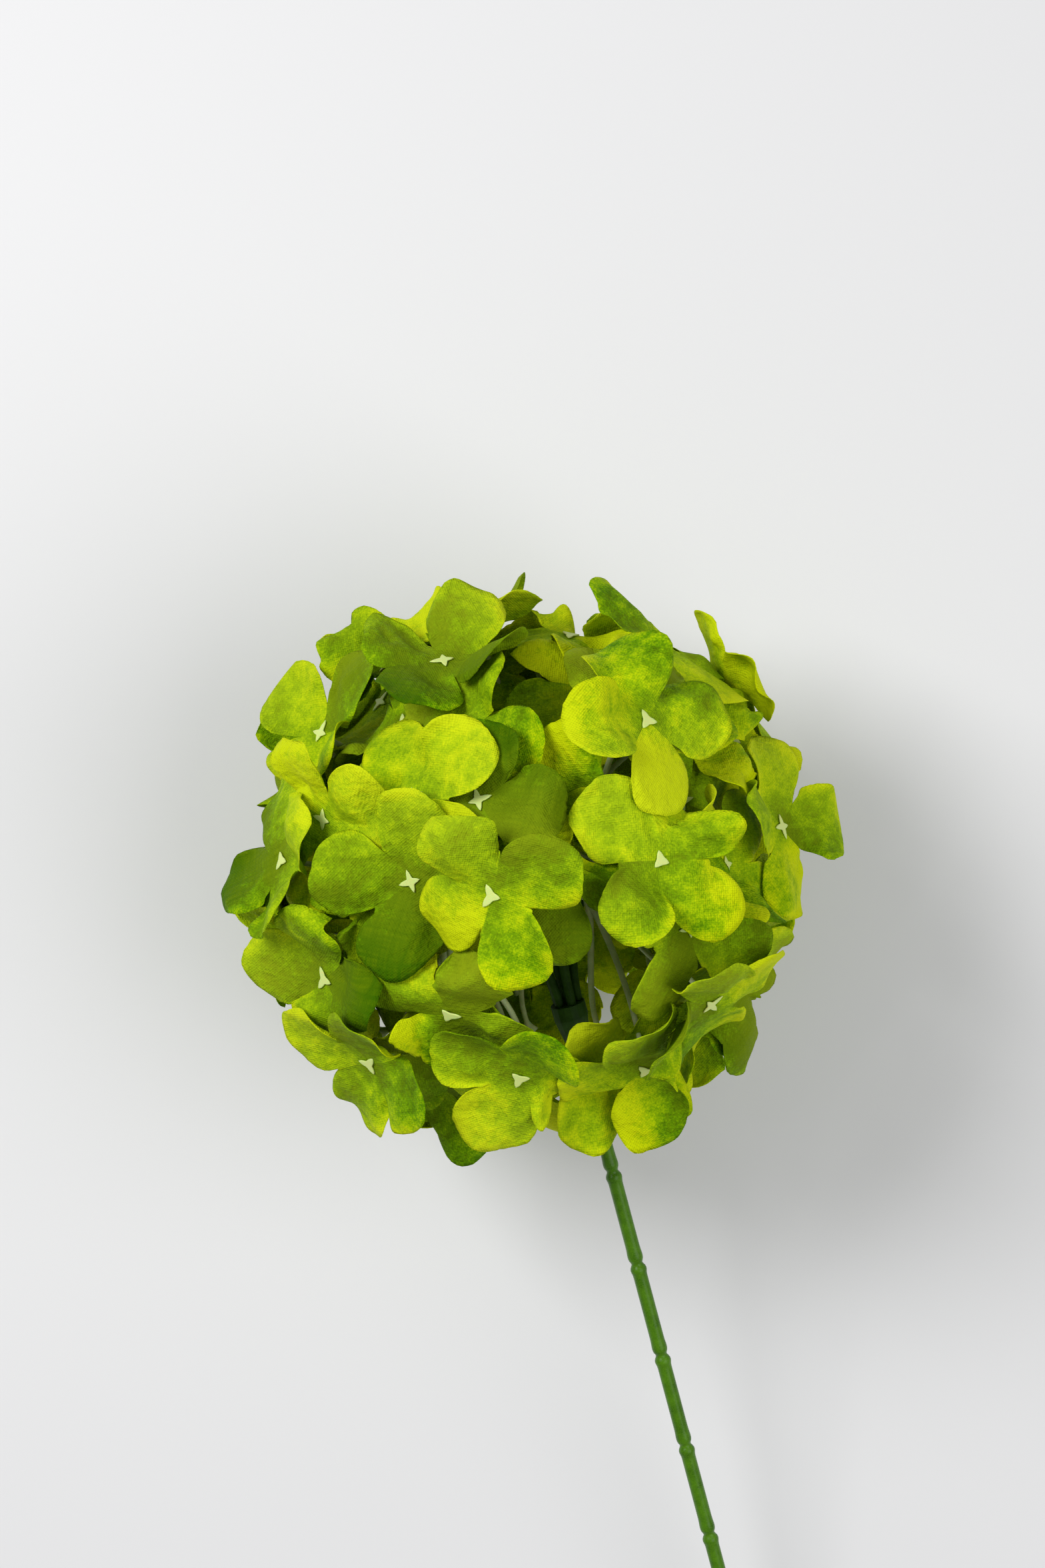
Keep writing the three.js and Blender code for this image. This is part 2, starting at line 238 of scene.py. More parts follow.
def sleeve_radius(down):
    """The plain radius, less a narrow waist at each knuckle, plus a round collar on both sides
    of it: two bell curves beside a narrower one turned down."""
    knuckles = np.arange(FIRST_KNUCKLE, sleeve_length - KNUCKLES_END, KNUCKLE_PITCH)
    off = down[:, None] - knuckles[None, :]
    waist = KNUCKLE_WAIST * np.exp(-((off / WAIST_WIDTH) ** 2))
    lower = KNUCKLE_COLLAR * np.exp(-(((off - LOWER_COLLAR_AT) / LOWER_COLLAR_WIDTH) ** 2))
    upper = UPPER_COLLAR_SHARE * KNUCKLE_COLLAR
    upper = upper * np.exp(-(((off + UPPER_COLLAR_AT) / UPPER_COLLAR_WIDTH) ** 2))
    return SLEEVE_RADIUS + (lower + upper - waist).sum(1)


outside = np.linspace(0.0, sleeve_length, SLEEVE_STATIONS)
bore_end = sleeve_length - BORE_SHOWN
sleeve_down = np.concatenate([[0.0], outside, [sleeve_length, bore_end, bore_end]])
sleeve_radii = np.concatenate([[0.0], sleeve_radius(outside), [SLEEVE_BORE, SLEEVE_BORE, 0.0]])
sleeve_angles = np.linspace(0.0, 2.0 * np.pi, SLEEVE_SIDES, endpoint=False)
sleeve_across = unit(np.cross(stem_axis, (0.0, 0.0, 1.0)))
sleeve_beside = np.cross(sleeve_across, stem_axis)
sleeve_spokes = np.outer(np.cos(sleeve_angles), sleeve_across)
sleeve_spokes = sleeve_spokes + np.outer(np.sin(sleeve_angles), sleeve_beside)
sleeve_points = (
    sleeve_top
    - sleeve_down[:, None, None] * stem_axis
    + sleeve_radii[:, None, None] * sleeve_spokes[None]
)
stem_plastic = moulded_plastic(
    "stem_plastic", dark=(0.034, 0.112, 0.001), light=(0.092, 0.245, 0.003),
    roughness=0.24, fine_share=0.45, grain_height=0.00004,
)
sleeve_quads = quads_between(len(sleeve_down), SLEEVE_SIDES)
sleeve = add_piece("knuckled_sleeve", sleeve_points, sleeve_quads, stem_plastic)
seal(sleeve)
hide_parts("stem_sleeve")

# ---------------------------------------------------------------------------------------------
# Stem wire. Bare drawn steel inside the sleeve, cropped flush with the sleeve's cut end. Its
# shape in the frame is right, so it stays and only gets its metal.
# ---------------------------------------------------------------------------------------------
wire_steel = bpy.data.materials.new("wire_steel")
wire_steel.use_nodes = True
wire_tree = wire_steel.node_tree
wire_shader = wire_tree.nodes["Principled BSDF"]
wire_shader.inputs["Metallic"].default_value = 1.0
wire_place = wire_tree.nodes.new("ShaderNodeTexCoord").outputs["Object"]
wire_scuffs = noise(wire_tree, wire_place, 1800.0)
wire_colour = mixed(wire_tree, wire_scuffs, (0.2, 0.2, 0.21), (0.42, 0.41, 0.4))
wire_tree.links.new(wire_colour, wire_shader.inputs["Base Color"])
wire_rough = maths(wire_tree, "MULTIPLY_ADD", wire_scuffs, 0.25)
wire_rough.node.inputs[2].default_value = 0.3
wire_tree.links.new(wire_rough, wire_shader.inputs["Roughness"])
wire_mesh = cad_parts["stem_wire"].data
wire_mesh.materials.clear()
wire_mesh.materials.append(wire_steel)

# ---------------------------------------------------------------------------------------------
# Hub. The moulded knob of dark green polythene inside the head, pushed on the stem's top. It
# stays as it is in the frame, and takes the branches' plastic.
# ---------------------------------------------------------------------------------------------
branch_plastic = moulded_plastic(
    "branch_plastic", dark=(0.022, 0.066, 0.010), light=(0.060, 0.150, 0.022),
    roughness=0.42, fine_share=0.35, grain_height=0.00005,
)
hub_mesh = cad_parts["hub"].data
hub_mesh.materials.clear()
hub_mesh.materials.append(branch_plastic)

# ---------------------------------------------------------------------------------------------
# Branches. Six dark green rods, moulded in two halves so that a fine ridge runs along each
# side, pushed into the hub and bent outwards to the sprays.
# ---------------------------------------------------------------------------------------------
BRANCH_RADIUS = 0.0013
BRANCH_BEND = 0.017
MOULD_RIDGE = 0.00016
RIDGE_SHARPNESS = 24
BRANCH_SIDES = 24
BRANCH_STATIONS = 40
PEG_LENGTH = 0.003
PEG_RADIUS = 0.0009
PEG_CORNERS = 8
STEP_GAP = 1e-5
HOLE_CORNERS_WITHIN = 0.002

floret_nodes = sorted(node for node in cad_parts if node.startswith("floret_"))
branch_nodes = sorted(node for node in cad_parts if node.startswith("branch_"))


def floret_seat(node):
    """Where a floret sits: its cloth is four-fold round its pedicel, so the mean of its corners
    is on the pedicel's line, the direction in which they spread least is that line, and the
    corners within the hole give the centre. The furthest corner is the tip of a lobe."""
    corners = corners_of(node)
    middle = corners.mean(0)
    outward = np.linalg.svd(corners - middle)[2][2]
    from_line = np.linalg.norm(np.cross(corners - middle, outward), axis=1)
    hole = corners[from_line < HOLE_CORNERS_WITHIN].mean(0)
    tip = corners[from_line.argmax()] - hole
    return {"node": node, "centre": hole, "outward": outward, "tip": tip}


seats = [floret_seat(node) for node in floret_nodes]
line_walls = [np.eye(3) - np.outer(seat["outward"], seat["outward"]) for seat in seats]
head_centre = np.linalg.solve(
    sum(line_walls), sum(wall @ seat["centre"] for wall, seat in zip(line_walls, seats))
)
for seat in seats:
    seat["outward"] = unit(seat["centre"] - head_centre)
    seat["radius"] = np.linalg.norm(seat["centre"] - head_centre)
    seat["along"] = unit(seat["tip"] - seat["outward"] * (seat["tip"] @ seat["outward"]))


def bezier(*controls, stations):
    """The curve that starts and ends at the outer controls and leans towards the inner ones."""
    t = np.linspace(0.0, 1.0, stations)[:, None]
    order = len(controls) - 1
    return sum(
        math.comb(order, i) * (1.0 - t) ** (order - i) * t ** i * np.asarray(control)
        for i, control in enumerate(controls)
    )


def branch_run(node):
    """A branch's foot on the hub, its direction at the far end and where its rod ends there."""
    corners = corners_of(node)
    up_stem = corners @ stem_axis
    foot = corners[up_stem.argsort()[:PEG_CORNERS]].mean(0) + stem_axis * PEG_LENGTH
    far = corners[np.linalg.norm(corners - foot, axis=1).argsort()[-PEG_CORNERS:]].mean(0)
    outward = unit(far - head_centre)
    return {"node": node, "foot": foot, "outward": outward, "end": far - outward * PEG_LENGTH}


branches = [branch_run(node) for node in branch_nodes]
for branch in branches:
    rod = bezier(
        branch["foot"],
        branch["foot"] + stem_axis * BRANCH_BEND,
        branch["end"] - branch["outward"] * BRANCH_BEND,
        branch["end"],
        stations=BRANCH_STATIONS,
    )
    foot_peg = branch["foot"] - stem_axis * PEG_LENGTH
    tip_peg = branch["end"] + branch["outward"] * PEG_LENGTH
    foot_step = stem_axis * STEP_GAP
    tip_step = branch["outward"] * STEP_GAP
    path = np.vstack([foot_peg, foot_peg + foot_step, branch["foot"] - foot_step, rod,
                      branch["end"] + tip_step, tip_peg - tip_step, tip_peg])
    plain = np.concatenate([[0.0, PEG_RADIUS, PEG_RADIUS], np.full(BRANCH_STATIONS, BRANCH_RADIUS),
                            [PEG_RADIUS, PEG_RADIUS, 0.0]])
    sides = np.linspace(0.0, 2.0 * np.pi, BRANCH_SIDES, endpoint=False)
    ridge = 1.0 + MOULD_RIDGE / BRANCH_RADIUS * np.abs(np.cos(sides)) ** RIDGE_SHARPNESS
    skin = rings_along(path, plain[:, None] * ridge[None, :])
    piece = add_piece("rod_of_" + branch["node"], skin, quads_between(len(path), BRANCH_SIDES),
                      branch_plastic)
    seal(piece)
    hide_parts(branch["node"])

# ---------------------------------------------------------------------------------------------
# Florets. Each is one piece of thin woven cloth, die-cut to four round lobes with a slit between
# neighbours, sprayed green and yellow, hot-pressed so that it cups and creases, and pushed on its
# pedicel through a hole at the centre. The cut edges fray a little.
# ---------------------------------------------------------------------------------------------
# The cut outline, its slits and the grid that carries them.
LOBES = 4
LOBE_STEP = 2.0 * math.pi / LOBES
LOBE_REACH = 0.0288
LOBE_ROUND = 0.0119
REACH_VARIES = (0.94, 1.05)
ROUND_VARIES = (0.93, 1.06)
EDGE_WAVER = 0.0002
EDGE_FRAY = 0.00018
SLIT_ROOT = 0.0085
CENTRE_HOLE = 0.0009
CLOTH_THICKNESS = 0.00022
THREAD_PITCH = 0.00045
UV_SQUARE = 0.064
COLUMNS_PER_LOBE = 48
ROOT_RINGS = 6
CLOTH_RINGS = 20

# Where the florets sit in the head and which way they face.
FLORET_SEED = 2026
INNER_FLORETS = 42
INNER_RADIUS = 0.078
INNER_VARIES = (0.97, 1.05)
SPIRAL_POINTS = 900
STEM_CLEAR = 46.0
PARTING_CLEAR = 19.0
TABLE_CLEAR = 30.0
PARTING_TILT = 0.27
PARTING_OPEN = 0.20
PARTING_REACH = 0.48
FACING_UP = 0.40
FACING_SPREAD = 0.20
SIDE_HEIGHT = 0.05
SIDE_BAND = 0.5
SEAT_DRIFT = 0.045
SEAT_SINK = 0.005
SINK_PER_TILT = 0.010

# How the press and the handling bend a cloth: angles in degrees, curvatures per metre.
OUTER_STAND = 22.0
INNER_STAND = 28.0
LEAN_SPREAD = 20.0
LEAN_RISE = 2.2
DROOP = 4.0
CURL_MEAN = -28.0
CURL_SPREAD = 24.0
CURL_START = 0.4
ROLL_CURVATURE = 14.0
ROLL_START = 0.015
TWIST_SPREAD = 9.0
FOLD_REACH = 0.007
FOLD_SLOPE_SPREAD = 0.2
FOLD_ROUND = 0.0012
BEND_STEPS = 12
SLIT_BLEND_FROM = 0.15
SLIT_BLEND_OVER = 0.35
LONG_WAVES = 5
LONG_WAVE_LENGTHS = (0.013, 0.036)
LONG_WAVE_HEIGHT = 0.0003
DENTS = 12
DENT_PLACES = (0.008, 0.025)
DENT_SIZES = (0.0022, 0.0055)
DENT_HEIGHT = 0.0012
EDGE_CURL = 0.0011
EDGE_CURL_WIDTH = 0.0045
EDGE_RIPPLE = 0.35
FLAT_CENTRE = 0.008

# How far the cloths stay from each other, from the table and inside the head.
HEAD_LIMIT = 0.0935
TABLE_GAP = 0.0004
CLOTH_GAP = 0.0009
UNDER_CLOTH = 0.0022
LEAST_DOWN = 0.05
MAP_CELL = 0.001
MAP_HALF = 48
MAP_SPREAD = 2
MAP_MIDDLE = 4
MAP_ANGLE = 1.2
PULL_ROUNDS = 20
PULL_KEPT = 0.98
PULL_FREE = 0.006

# Shares of yellow in the spray, and how far each reaches. The inner florets' lower share is
# painted shade of the head's depths; the lower share at each floret's centre is partly its dye and
# partly painted shade of the crevice round the pedicel.
LOBE_TINT = 0.62
FLORET_TINT = 0.42
OUTER_TINT = 0.05
INNER_PAINTED_SHADE = -0.25
ACROSS_TINT = 0.36
SIDE_TINT = 0.28
EDGE_TINT = 0.22
EDGE_TINT_WIDTH = 0.006
EVEN_TINT = 0.08
CENTRE_DYE_AND_SHADE = 0.28
CENTRE_DYE_AND_SHADE_REACH = 0.012
PALE_EDGE_WIDTH = 0.0012

columns = LOBES * COLUMNS_PER_LOBE
own_lobe = np.repeat(np.arange(LOBES), COLUMNS_PER_LOBE)
side_bounds = 0.5 * LOBE_STEP * np.sin(np.linspace(-0.5, 0.5, COLUMNS_PER_LOBE + 1) * np.pi)
off_lobe = np.tile(0.5 * (side_bounds[1:] + side_bounds[:-1]), LOBES)
column_angles = own_lobe * LOBE_STEP + off_lobe
next_lobe = (own_lobe + np.where(off_lobe < 0.0, -1, 1)) % LOBES
off_next = off_lobe - np.where(off_lobe < 0.0, -1.0, 1.0) * LOBE_STEP


above = unit(np.array([0.0, 0.0, 1.0]) - stem_axis * stem_axis[2])
parting_above = unit(above - PARTING_TILT * stem_axis)


def between_florets(wanted):
    """Directions for the florets that the dense head has under the outer ones: of even points
    on a ball, a turned spiral, the one furthest from every floret so far is taken, again and
    again. The parting above, the side on the table and the cone round the stem stay free."""
    turns = np.arange(SPIRAL_POINTS) + 0.5
    upright = 1.0 - 2.0 * turns / SPIRAL_POINTS
    across = np.sqrt(1.0 - upright ** 2)
    golden = np.pi * (1.0 + math.sqrt(5.0)) * turns
    spiral = np.stack([across * np.cos(golden), across * np.sin(golden), upright], -1)
    kept_free = ((-stem_axis, STEM_CLEAR), (parting_above, PARTING_CLEAR), (-above, TABLE_CLEAR))
    for centre, clear in kept_free:
        spiral = spiral[spiral @ centre < math.cos(math.radians(clear))]
    taken = [seat["outward"] for seat in seats]
    for _ in range(wanted):
        nearest = (spiral @ np.array(taken).T).max(1)
        taken.append(spiral[nearest.argmin()])
    return taken[len(seats):]


def set_out(seat, random):
    """Turns a seat to the way its cloth faces: outwards, leaning up most at the head's sides
    and a little at random. A leaning floret sits deeper, so that its raised side stays in the
    head. Seats drift at random, and those near the parting move away from it, by a bell curve
    of their distance."""
    upright = np.array([0.0, 0.0, 1.0])
    at_side = math.exp(-((seat["outward"][2] - SIDE_HEIGHT) / SIDE_BAND) ** 2)
    lean = FACING_UP * at_side * upright + random.normal(0.0, FACING_SPREAD, 3)
    seat["facing"] = unit(seat["outward"] + lean - seat["outward"] * (lean @ seat["outward"]))
    tilt = np.linalg.norm(seat["facing"] - seat["outward"])
    seat["radius"] -= SINK_PER_TILT * tilt
    seat["outward"] = unit(seat["outward"] + random.normal(0.0, SEAT_DRIFT, 3))
    apart = seat["outward"] - parting_above
    opened = PARTING_OPEN * math.exp(-((np.linalg.norm(apart) / PARTING_REACH) ** 2))
    seat["outward"] = unit(seat["outward"] + opened * unit(apart))
    seat["along"] = unit(seat["along"] - seat["facing"] * (seat["along"] @ seat["facing"]))
    seat["beside"] = np.cross(seat["facing"], seat["along"])


def cut_edge(random):
    """Distance of the cut edge from the centre in each column: the far side of a round lobe, a
    little wavy, with a fine fray from thread to thread."""
    reach = LOBE_REACH * random.uniform(*REACH_VARIES, LOBES)[own_lobe]
    round_ = LOBE_ROUND * random.uniform(*ROUND_VARIES, LOBES)[own_lobe]
    back = reach - round_
    side = np.clip(round_ ** 2 - (back * np.sin(off_lobe)) ** 2, 0.0, None)
    edge = back * np.cos(off_lobe) + np.sqrt(side)
    waver = sum(
        random.normal(0.0, EDGE_WAVER) * np.cos(wave * column_angles + random.uniform(0.0, 6.3))
        for wave in range(5, 14)
    )
    return edge + waver + EDGE_FRAY * random.uniform(-1.0, 1.0, columns)


def cloth_rings(edge):
    """Radii of the cloth's rings: evenly out to the slits' root, then evenly to the cut edge."""
    inner = np.linspace(CENTRE_HOLE, SLIT_ROOT, ROOT_RINGS, endpoint=False)[:, None]
    inner = inner * np.ones(columns)
    outer = np.linspace(0.0, 1.0, CLOTH_RINGS - ROOT_RINGS)[:, None]
    return np.vstack([inner, SLIT_ROOT + outer * (edge - SLIT_ROOT)])


def cut_quads():
    """The grid's faces without those that would bridge a slit outside its root."""
    quads = quads_between(CLOTH_RINGS, columns)
    row, column = np.divmod(quads[:, 0], columns)
    bridging = own_lobe[column] != own_lobe[(column + 1) % columns]
    return quads[~(bridging & (row >= ROOT_RINGS))]


def one_lobe(lobe, off, flat_radius, bends):
    """The cloth bent as one lobe bends it, x along the lobe, y across and z outwards. The slope
    along the lobe is a lean, less a steady droop, plus a curl that grows towards the tip. It is
    summed step by step, which keeps the lobe's length. Across the lobe it is rolled round a
    cylinder, which keeps its width, then twisted and folded at a line, which stretch it a
    little."""
    lean, curl, roll, twist, fold_at, fold_slope = (bend[lobe] for bend in bends)
    along = flat_radius * np.cos(off)[None, :]
    across = flat_radius * np.sin(off)[None, :]
    walked = np.linspace(0.0, 1.0, BEND_STEPS)[:, None, None] * along[None]
    share = walked / LOBE_REACH
    slope = lean * smooth_step(share * LEAN_RISE) - DROOP * walked
    slope = slope + 2.0 * curl * np.clip(share - CURL_START, 0.0, 1.0) ** 1.5
    out = np.trapz(np.cos(slope), walked, axis=0)
    lift = np.trapz(np.sin(slope), walked, axis=0)
    rolled = smooth_step(along / ROLL_START)
    bend = roll * across * rolled
    sideways = across * np.sinc(bend / np.pi)
    rise = 0.5 * roll * across ** 2 * rolled * np.sinc(0.5 * bend / np.pi) ** 2
    crease = np.sqrt((across - fold_at) ** 2 + FOLD_ROUND ** 2)
    crease = crease - np.sqrt(fold_at ** 2 + FOLD_ROUND ** 2)
    rise = rise + (fold_slope * crease + np.sin(twist) * across) * rolled
    x = out - rise * np.sin(slope[-1])
    z = lift + rise * np.cos(slope[-1])
    cosine, sine = np.cos(lobe * LOBE_STEP), np.sin(lobe * LOBE_STEP)
    return np.stack([x * cosine - sideways * sine, x * sine + sideways * cosine, z], -1)


def pressed_cloth(flat_radius, edge, stand, random):
    """A floret's cloth in its own frame: each lobe bent by itself, the two lobes beside a slit
    blended inside its root, then long waves, round dents and a curled edge added as heights that
    fade to nothing at the pedicel and stretch the cloth by a few hundredths."""
    strong = np.clip(random.standard_t(3.0, LOBES), -3.0, 3.0)
    bends = (
        np.radians(stand + random.normal(0.0, LEAN_SPREAD, LOBES)),
        np.radians(random.normal(CURL_MEAN, CURL_SPREAD, LOBES)),
        ROLL_CURVATURE * strong,
        np.radians(random.normal(0.0, TWIST_SPREAD, LOBES)),
        random.uniform(-FOLD_REACH, FOLD_REACH, LOBES),
        random.normal(0.0, FOLD_SLOPE_SPREAD, LOBES),
    )
    own = one_lobe(own_lobe, off_lobe, flat_radius, bends)
    beside = one_lobe(next_lobe, off_next, flat_radius, bends)
    inside = 1.0 - smooth_step((flat_radius - SLIT_ROOT) / (0.5 * SLIT_ROOT))
    from_slit = np.abs(off_lobe) - SLIT_BLEND_FROM * LOBE_STEP
    near_slit = smooth_step(from_slit / (SLIT_BLEND_OVER * LOBE_STEP))
    blend = (0.5 * near_slit[None, :] * inside)[..., None]
    cloth = own * (1.0 - blend) + beside * blend

    x = flat_radius * np.cos(column_angles)
    y = flat_radius * np.sin(column_angles)
    height = np.zeros_like(x)
    for _ in range(LONG_WAVES):
        heading, phase = random.uniform(0.0, 2.0 * np.pi, 2)
        wave = 2.0 * np.pi / random.uniform(*LONG_WAVE_LENGTHS)
        towards = x * np.cos(heading) + y * np.sin(heading)
        height += random.normal(0.0, LONG_WAVE_HEIGHT) * np.cos(wave * towards + phase)
    for _ in range(DENTS):
        heading = random.uniform(0.0, 2.0 * np.pi)
        away = random.uniform(*DENT_PLACES)
        size = random.uniform(*DENT_SIZES)
        off = (x - away * np.cos(heading)) ** 2 + (y - away * np.sin(heading)) ** 2
        height += random.normal(0.0, DENT_HEIGHT) * np.exp(-off / size ** 2)
    curled = sum(
        random.normal(0.0, EDGE_RIPPLE) * np.cos(wave * column_angles + random.uniform(0.0, 6.3))
        for wave in range(3, 15)
    )
    height += EDGE_CURL * curled * smooth_step(1.0 - (edge - flat_radius) / EDGE_CURL_WIDTH) ** 2
    cloth[..., 2] += height * smooth_step((flat_radius - CENTRE_HOLE) / FLAT_CENTRE)
    return cloth


def ceiling_over(seat, outer_offsets):
    """A flat map round a floret's seat: how far from the head's centre the lowest cloth
    outside it lies. Each cell takes the least of the cells near it too."""
    ceiling = np.full((2 * MAP_HALF + 1, 2 * MAP_HALF + 1), np.inf)
    for outer in outer_offsets:
        cells, inside = plane_cells(outer, seat)
        heights = np.linalg.norm(outer[inside], axis=-1)
        np.minimum.at(ceiling, (cells[inside][:, 0], cells[inside][:, 1]), heights)
    shifts = range(-MAP_SPREAD, MAP_SPREAD + 1)
    for axis in (0, 1):
        ceiling = np.min([np.roll(ceiling, shift, axis) for shift in shifts], axis=0)
    return ceiling


def plane_cells(offsets, seat):
    """Cells of the flat map: the angle from the seat's direction, times its distance from the
    head's centre, laid out along two directions square to it."""
    directions = unit(offsets)
    away = np.arccos(np.clip(directions @ seat["outward"], -1.0, 1.0))
    east = unit(np.cross(seat["outward"], seat["beside"]))
    north = np.cross(seat["outward"], east)
    flat = np.stack([directions @ east, directions @ north], -1)
    flat = flat / np.maximum(np.linalg.norm(flat, axis=-1, keepdims=True), 1e-9)
    cells = np.round(flat * (away * seat["radius"] / MAP_CELL)[..., None]).astype(int) + MAP_HALF
    inside = ((cells >= 0) & (cells <= 2 * MAP_HALF)).all(-1) & (away < MAP_ANGLE)
    return cells, inside


def tucked_under(offsets, seat, ceiling, flat_radius):
    """Pulls the cloth in, towards the head's centre, wherever it would stand out of the head or
    pass through the table or through cloth that already lies outside it. The pull spreads
    smoothly to its neighbours and fades to nothing at the pedicel."""
    cells, inside = plane_cells(offsets, seat)
    limit = np.full(offsets.shape[:2], np.inf)
    limit[inside] = ceiling[cells[inside][:, 0], cells[inside][:, 1]] - CLOTH_GAP
    heights = np.linalg.norm(offsets, axis=-1)
    down = np.clip(-offsets[..., 2] / heights, LEAST_DOWN, None)
    to_table = (head_centre[2] - TABLE_GAP) / down
    limit = np.minimum(limit, np.minimum(HEAD_LIMIT, to_table))
    needed = np.clip(heights - limit, 0.0, None)
    pull = needed
    for _ in range(PULL_ROUNDS):
        padded = np.vstack([pull[:1], pull, pull[-1:]])
        spread = (padded[:-2] + padded[2:] + np.roll(pull, 1, 1) + np.roll(pull, -1, 1)) / 4.0
        pull = np.maximum(needed, PULL_KEPT * spread)
    pull = pull * smooth_step((flat_radius - CENTRE_HOLE) / PULL_FREE)
    return offsets * (1.0 - pull / heights)[..., None]


def woven_group():
    """Plain weave on flat cloth: the product of two sines gives threads that pass over and under
    each other, and a noise makes some threads thicker."""
    group, group_in, group_out = new_group(
        "plain_weave",
        [("NodeSocketVector", "Cloth", (0.0, 0.0, 0.0)), ("NodeSocketFloat", "Threads", 1.0)],
        [("NodeSocketFloat", "Height"), ("NodeSocketFloat", "Slub")],
    )
    split = group.nodes.new("ShaderNodeSeparateXYZ")
    group.links.new(group_in.outputs["Cloth"], split.inputs[0])
    waves = []
    for axis in (split.outputs["X"], split.outputs["Y"]):
        counted = maths(group, "MULTIPLY", axis, group_in.outputs["Threads"])
        waves.append(maths(group, "SINE", maths(group, "MULTIPLY", counted, math.pi)))
    group.links.new(maths(group, "MULTIPLY", *waves), group_out.inputs["Height"])
    stretched = []
    for scale in ((60.0, 4.0, 1.0), (4.0, 60.0, 1.0)):
        mapping = group.nodes.new("ShaderNodeMapping")
        mapping.inputs["Scale"].default_value = scale
        group.links.new(group_in.outputs["Cloth"], mapping.inputs["Vector"])
        stretched.append(noise(group, mapping.outputs["Vector"], 1.0, detail=1.0))
    group.links.new(maths(group, "MULTIPLY", *stretched), group_out.inputs["Slub"])
    return group


def floret_cloth_material():
    """Cloth coloured from a deep green, through lime, to a yellow lime, by broad clouds and each
    lobe's own sprayed share, with paler threads at the cut edge and the weave as a bump. The share
    also carries painted shade: less yellow on the inner florets and, partly, at each floret's
    centre. The fine speckle is partly the threads' own colour and partly a painted glint of
    shining threads, and the weave's height darkens the colour a little as painted shade between
    the threads."""
    material = bpy.data.materials.new("floret_cloth")
    material.use_nodes = True
    tree = material.node_tree
    shader = tree.nodes["Principled BSDF"]
    coordinates = tree.nodes.new("ShaderNodeTexCoord")

    def attribute(name):
        node = tree.nodes.new("ShaderNodeAttribute")
        node.attribute_name = name
        return node.outputs["Fac"]

    clouds = noise(tree, coordinates.outputs["Object"], 60.0, detail=3.0, roughness=0.6)
    blotches = noise(tree, coordinates.outputs["Object"], 240.0, detail=3.0, roughness=0.6)
    # The fine speckle is partly the threads' own colour and partly a painted glint of shining
    # threads.
    speckle_and_glint = noise(tree, coordinates.outputs["Object"], 1500.0, detail=2.0, roughness=0.6)
    spray_and_shade = maths(tree, "MULTIPLY", clouds, 0.42)
    for layer, share in ((blotches, 0.24), (speckle_and_glint, 0.30), (attribute("tint_and_shade"), 0.84)):
        spray_and_shade = maths(tree, "ADD", spray_and_shade, maths(tree, "MULTIPLY", layer, share))
    spray_and_shade = maths(tree, "SUBTRACT", spray_and_shade, 0.27, clamp=True)
    ramp = tree.nodes.new("ShaderNodeValToRGB")
    deep_green = (0.14, (0.021, 0.102, 0.0003))
    mid_green = (0.40, (0.094, 0.275, 0.0006))
    lime = (0.62, (0.300, 0.500, 0.0010))
    yellow_lime = (0.92, (0.640, 0.750, 0.0025))
    stops = (deep_green, mid_green, lime, yellow_lime)
    elements = ramp.color_ramp.elements
    for _ in range(len(stops) - len(elements)):
        elements.new(0.5)
    for element, (at, colour) in zip(elements, stops):
        element.position = at
        element.color = (*colour, 1.0)
    tree.links.new(spray_and_shade, ramp.inputs["Fac"])
    weave = tree.nodes.new("ShaderNodeGroup")
    weave.node_tree = woven_group()
    weave.inputs["Threads"].default_value = UV_SQUARE / THREAD_PITCH
    tree.links.new(coordinates.outputs["UV"], weave.inputs["Cloth"])
    # The weave's height darkens the colour a little: painted shade between the threads.
    threads = maths(tree, "MULTIPLY_ADD", weave.outputs["Height"], 0.12)
    threads.node.inputs[2].default_value = 0.12
    shaded = mixed(tree, threads, ramp.outputs["Color"], (0.05, 0.12, 0.001))
    slub_share = maths(tree, "MULTIPLY", weave.outputs["Slub"], 0.10)
    slubbed = mixed(tree, slub_share, shaded, (0.60, 0.72, 0.004))
    cut = maths(tree, "MULTIPLY", attribute("cut"), 0.40)
    cloth_colour = mixed(tree, cut, slubbed, (0.66, 0.76, 0.02))
    tree.links.new(cloth_colour, shader.inputs["Base Color"])
    shader.inputs["Roughness"].default_value = 0.65
    shader.inputs["Specular IOR Level"].default_value = 0.03
    shader.inputs["Specular Tint"].default_value = (0.9, 1.0, 0.2, 1.0)
    shader.inputs["Sheen Weight"].default_value = 0.02
    shader.inputs["Sheen Roughness"].default_value = 0.35
    shader.inputs["Sheen Tint"].default_value = (0.85, 1.0, 0.05, 1.0)
    bump = tree.nodes.new("ShaderNodeBump")
    bump.inputs["Strength"].default_value = 0.4
    bump.inputs["Distance"].default_value = 0.00014
    tree.links.new(weave.outputs["Height"], bump.inputs["Height"])
    wrinkle = tree.nodes.new("ShaderNodeBump")
    wrinkle.inputs["Strength"].default_value = 0.75
    wrinkle.inputs["Distance"].default_value = 0.0007
    tree.links.new(blotches, wrinkle.inputs["Height"])
    tree.links.new(bump.outputs["Normal"], wrinkle.inputs["Normal"])
    tree.links.new(wrinkle.outputs["Normal"], shader.inputs["Normal"])
    return material


floret_cloth = floret_cloth_material()
placing_random = np.random.default_rng(FLORET_SEED)
for seat in seats:
    seat["stand"] = OUTER_STAND
    seat["radius"] -= SEAT_SINK
    set_out(seat, placing_random)
for number, outward in enumerate(between_florets(INNER_FLORETS)):
    inner = {"node": None, "name": f"inner_{number + 1:02d}", "outward": outward,
             "stand": INNER_STAND, "radius": INNER_RADIUS * placing_random.uniform(*INNER_VARIES)}
    inner["along"] = unit(np.cross(outward, placing_random.normal(0.0, 1.0, 3)))
    set_out(inner, placing_random)
    seats.append(inner)

